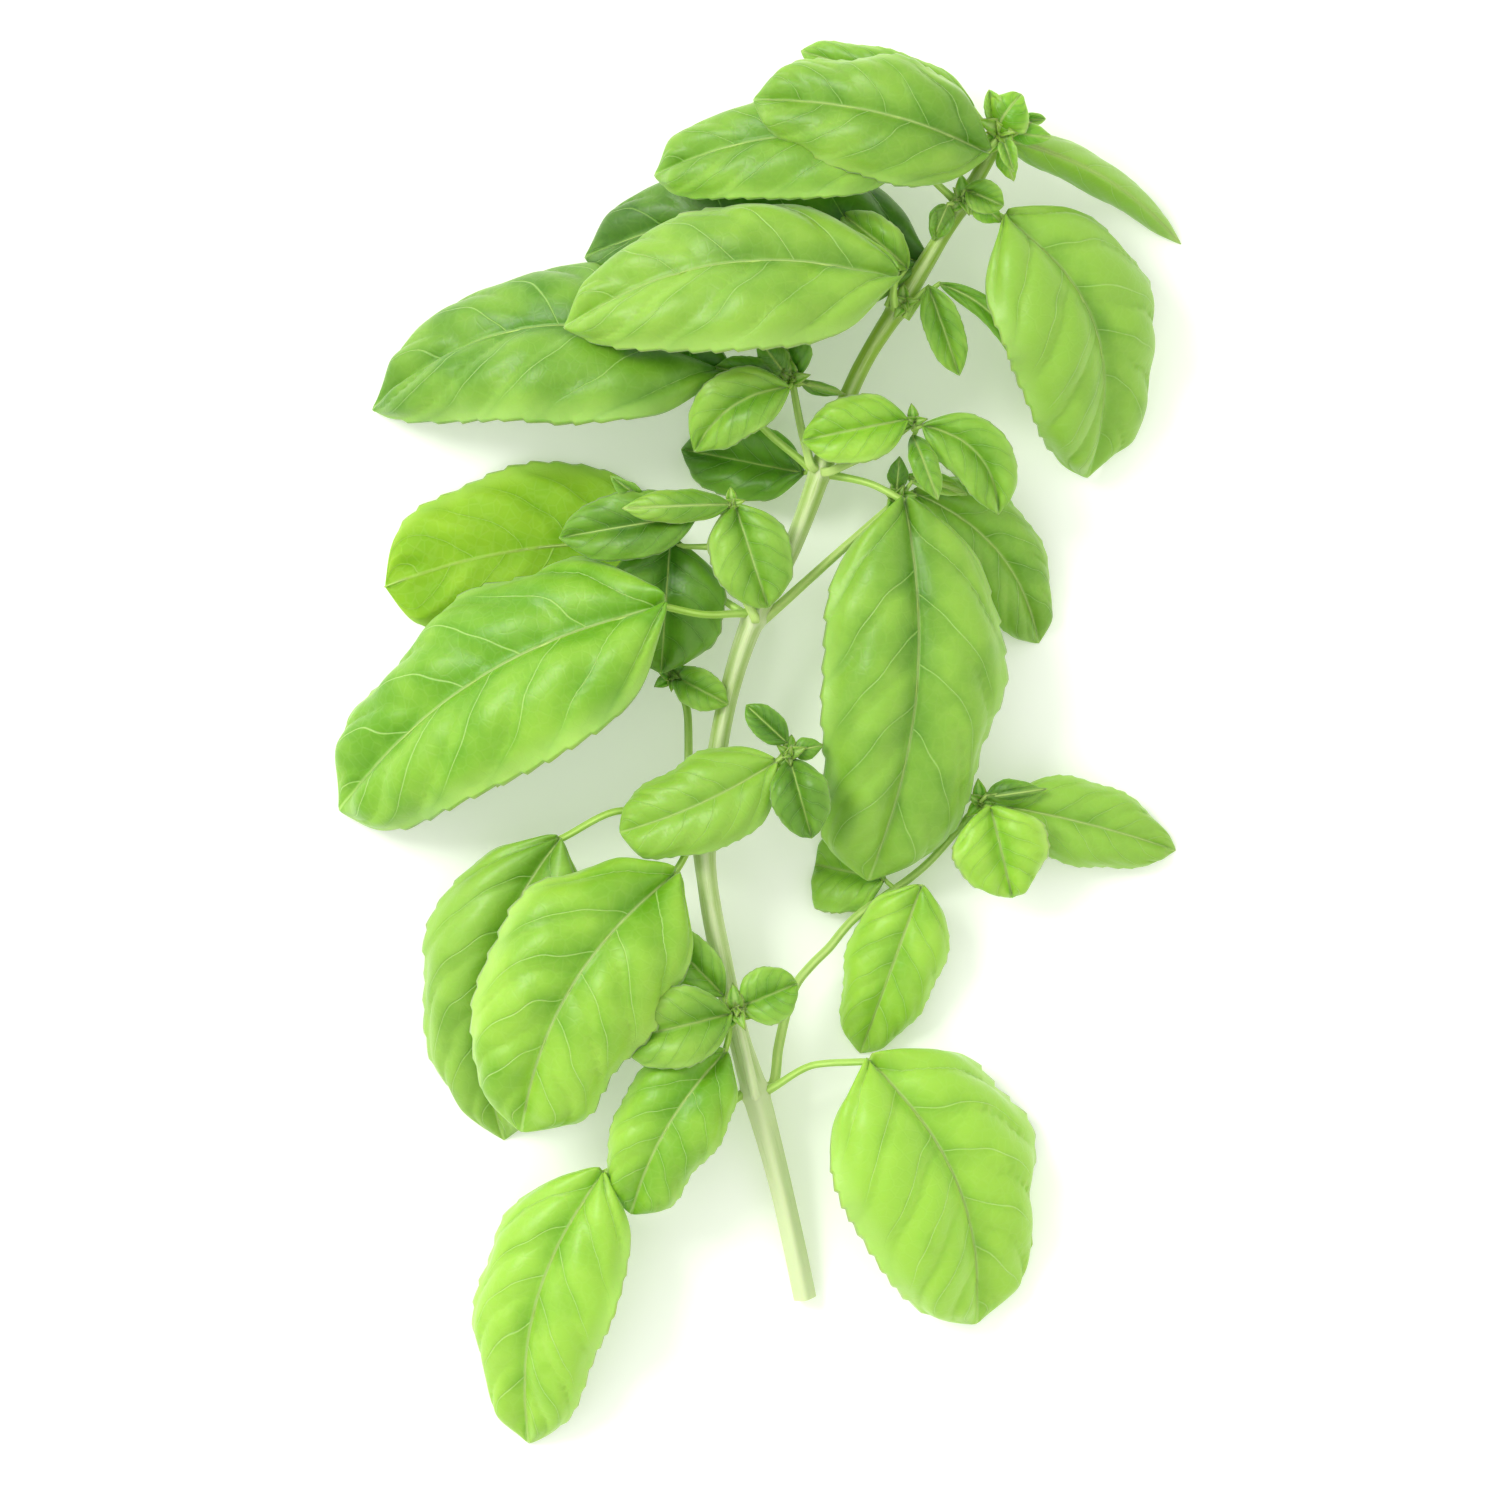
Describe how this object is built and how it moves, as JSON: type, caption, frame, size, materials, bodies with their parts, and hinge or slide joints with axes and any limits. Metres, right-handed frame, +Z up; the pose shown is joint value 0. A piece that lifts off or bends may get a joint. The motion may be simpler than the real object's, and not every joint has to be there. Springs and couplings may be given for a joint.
{
  "type": "cut basil sprig",
  "caption": "Leafy cut sprig of sweet basil lying on its side: a jointed pale stem with opposite pairs of stalked, arched oval leaves and thin leafy side shoots.",
  "frame": {"origin": "centre of the whole sprig's box, on the table that it lies on", "axes": "+Y along the main stem from its cut foot to its growing tip, +Z up from the table, +X to the right of the stem seen from above"},
  "size_m": [0.1684, 0.2784, 0.044],
  "materials": {
    "stem": "satin",
    "leaf_light": "satin",
    "leaf_mid": "satin",
    "leaf_dark": "satin"
  },
  "bodies": {
    "root": {"bud_leaf_down": "leaf_mid", "bud_leaf_right": "leaf_mid", "bud_leaf_up": "leaf_mid", "leaf_1_left": "leaf_light", "leaf_1_right": "leaf_light", "leaf_2_left_inner": "leaf_light", "leaf_2_left_outer": "leaf_mid", "leaf_3_left_back": "leaf_light", "leaf_3_left_front": "leaf_light", "leaf_3_right_large": "leaf_mid", "leaf_4_left": "leaf_mid", "leaf_4_right": "leaf_mid", "leaf_4_under": "leaf_dark", "leaf_5_left_back": "leaf_dark", "leaf_5_left_front": "leaf_mid", "leaf_5_small_down": "leaf_mid", "leaf_5_small_left": "leaf_mid", "leaf_5_small_right": "leaf_mid", "leaf_6_left": "leaf_mid", "leaf_6_right": "leaf_mid", "leaf_6_small_left": "leaf_dark", "leaf_6_small_right": "leaf_mid", "leaf_tip_back": "leaf_mid", "leaf_tip_left": "leaf_mid", "leaf_tip_right": "leaf_mid", "leaf_tip_under": "leaf_dark", "main_stem": "stem", "shoot_1_left": "stem", "shoot_1_left_leaf_down": "leaf_light", "shoot_1_left_leaf_left": "leaf_mid", "shoot_1_left_leaf_right": "leaf_mid", "shoot_1_left_leaf_up": "leaf_mid", "shoot_1_right": "stem", "shoot_1_right_leaf_down": "leaf_light", "shoot_1_right_leaf_up": "leaf_mid", "shoot_1_right_tip_down": "leaf_light", "shoot_1_right_tip_right": "leaf_mid", "shoot_1_right_tip_small": "leaf_dark", "shoot_2_left": "stem", "shoot_2_left_leaf": "leaf_mid", "shoot_2_right": "stem", "shoot_2_right_leaf_down": "leaf_dark", "shoot_2_right_leaf_left": "leaf_mid", "shoot_2_right_leaf_up": "leaf_dark", "shoot_3_left": "stem", "shoot_3_left_leaf_dark": "leaf_dark", "shoot_3_left_leaf_down": "leaf_dark", "shoot_3_left_leaf_folded": "leaf_mid", "shoot_3_left_leaf_right": "leaf_mid", "shoot_3_right": "stem", "shoot_3_right_leaf_folded": "leaf_mid", "shoot_4_left": "stem", "shoot_4_left_leaf_down": "leaf_mid", "shoot_4_left_leaf_left": "leaf_dark", "shoot_4_left_leaf_right": "leaf_mid", "shoot_4_left_leaf_up": "leaf_dark", "shoot_4_right": "stem", "shoot_4_right_leaf_down": "leaf_mid", "shoot_4_right_leaf_left": "leaf_light", "shoot_4_right_leaf_right": "leaf_mid"}
  },
  "joints": []
}
